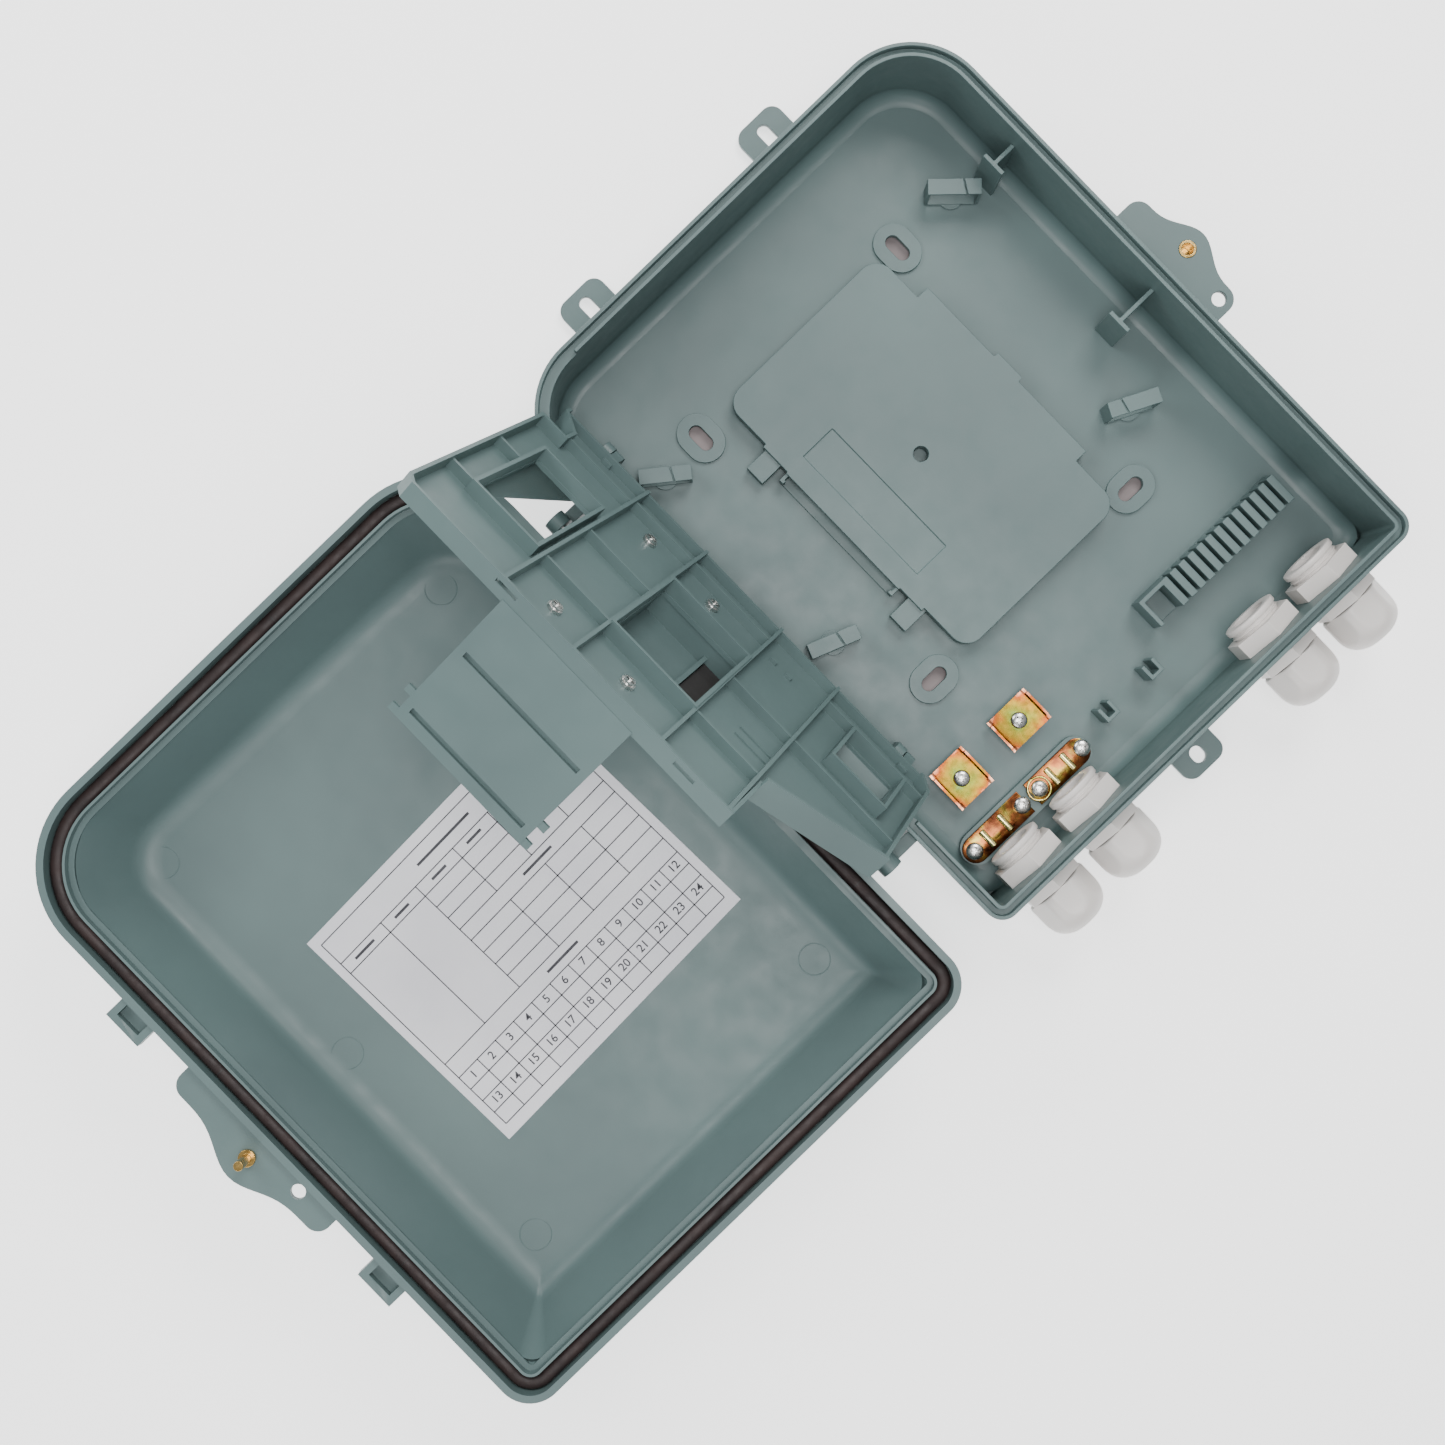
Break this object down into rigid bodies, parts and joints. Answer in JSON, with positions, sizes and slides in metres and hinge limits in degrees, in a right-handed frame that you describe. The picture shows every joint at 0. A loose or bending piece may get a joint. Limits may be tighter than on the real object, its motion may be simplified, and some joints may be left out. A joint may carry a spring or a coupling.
{
  "type": "fiber termination box",
  "caption": "Open wall box for ending optical cables: hinged gasketed cover, swing-up ribbed panel, splice tray, comb, clamps, earth bar and screw-cap cable glands.",
  "frame": {"origin": "centre of the base's flat back face", "axes": "+X towards the cable glands, +Y towards the latch, +Z out of the wall; cover and panel drawn open"},
  "size_m": [0.438, 0.7061, 0.2033],
  "materials": {
    "grey_plastic": "satin moulded",
    "gasket_rubber": "matte",
    "paper": "printed paper",
    "steel": "bright",
    "light_plastic": "satin",
    "yellow_zinc": "iridescent passivated",
    "brass": "machined",
    "black_plastic": "matte",
    "black_rubber": "matte"
  },
  "bodies": {
    "base": {"base_shell": "grey_plastic", "base_floor": "grey_plastic", "floor_posts": "grey_plastic", "hinge_pin_1": "steel", "hinge_pin_2": "steel", "panel_pin_1": "steel", "panel_pin_2": "steel", "splice_tray": "grey_plastic", "splice_tray_lid": "grey_plastic", "splice_holder": "light_plastic", "fiber_clip_1": "grey_plastic", "fiber_clip_2": "grey_plastic", "fiber_clip_3": "grey_plastic", "fiber_clip_4": "grey_plastic", "cable_comb": "grey_plastic", "clamp_plate_1": "yellow_zinc", "clamp_plate_2": "yellow_zinc", "clamp_screw_1": "steel", "clamp_screw_2": "steel", "earth_plinth": "grey_plastic", "earth_strip_1": "yellow_zinc", "earth_strip_2": "yellow_zinc", "earth_screws": "steel", "latch_insert": "brass", "gland_body_1": "light_plastic", "gland_body_2": "light_plastic", "gland_body_3": "light_plastic", "gland_body_4": "light_plastic", "gland_seal_1": "black_rubber", "gland_seal_2": "black_rubber", "gland_seal_3": "black_rubber", "gland_seal_4": "black_rubber", "gland_locknut_1": "light_plastic", "gland_locknut_2": "light_plastic", "gland_locknut_3": "light_plastic", "gland_locknut_4": "light_plastic", "gland_washer_1": "black_rubber", "gland_washer_2": "black_rubber", "gland_washer_3": "black_rubber", "gland_washer_4": "black_rubber"},
    "cover": {"cover_shell": "grey_plastic", "cover_gasket": "gasket_rubber", "record_card": "paper"},
    "panel": {"adapter_panel": "grey_plastic", "port_blank": "black_plastic", "panel_screws": "steel"},
    "latch_screw": {"latch_screw": "brass"},
    "gland_cap_1": {"gland_cap_1": "light_plastic"},
    "gland_cap_2": {"gland_cap_2": "light_plastic"},
    "gland_cap_3": {"gland_cap_3": "light_plastic"},
    "gland_cap_4": {"gland_cap_4": "light_plastic"}
  },
  "joints": [
    {"name": "cover_hinge", "type": "hinge", "parent": "base", "child": "cover", "pos_m": [0, -0.1695, 0.068], "axis": [-1, 0, 0], "range_deg": [0, 180]},
    {"name": "panel_hinge", "type": "hinge", "parent": "base", "child": "panel", "pos_m": [0, -0.124, 0.029], "axis": [-1, 0, 0], "range_deg": [0, 117.5]},
    {"name": "latch_screw_turn", "type": "hinge", "parent": "cover", "child": "latch_screw", "pos_m": [0.0015, -0.5095, 0.075], "axis": [0, 0, 1], "continuous": true},
    {"name": "gland_cap_turn_1", "type": "hinge", "parent": "base", "child": "gland_cap_1", "pos_m": [0.208, 0.105, 0.032], "axis": [1, 0, 0], "continuous": true},
    {"name": "gland_cap_turn_2", "type": "hinge", "parent": "base", "child": "gland_cap_2", "pos_m": [0.208, 0.062, 0.032], "axis": [1, 0, 0], "continuous": true},
    {"name": "gland_cap_turn_3", "type": "hinge", "parent": "base", "child": "gland_cap_3", "pos_m": [0.208, -0.07, 0.032], "axis": [1, 0, 0], "continuous": true},
    {"name": "gland_cap_turn_4", "type": "hinge", "parent": "base", "child": "gland_cap_4", "pos_m": [0.208, -0.113, 0.032], "axis": [1, 0, 0], "continuous": true}
  ],
  "couplings": [
    {"joint": "panel_hinge", "follows": "cover_hinge", "ratio": 0.6527}
  ]
}
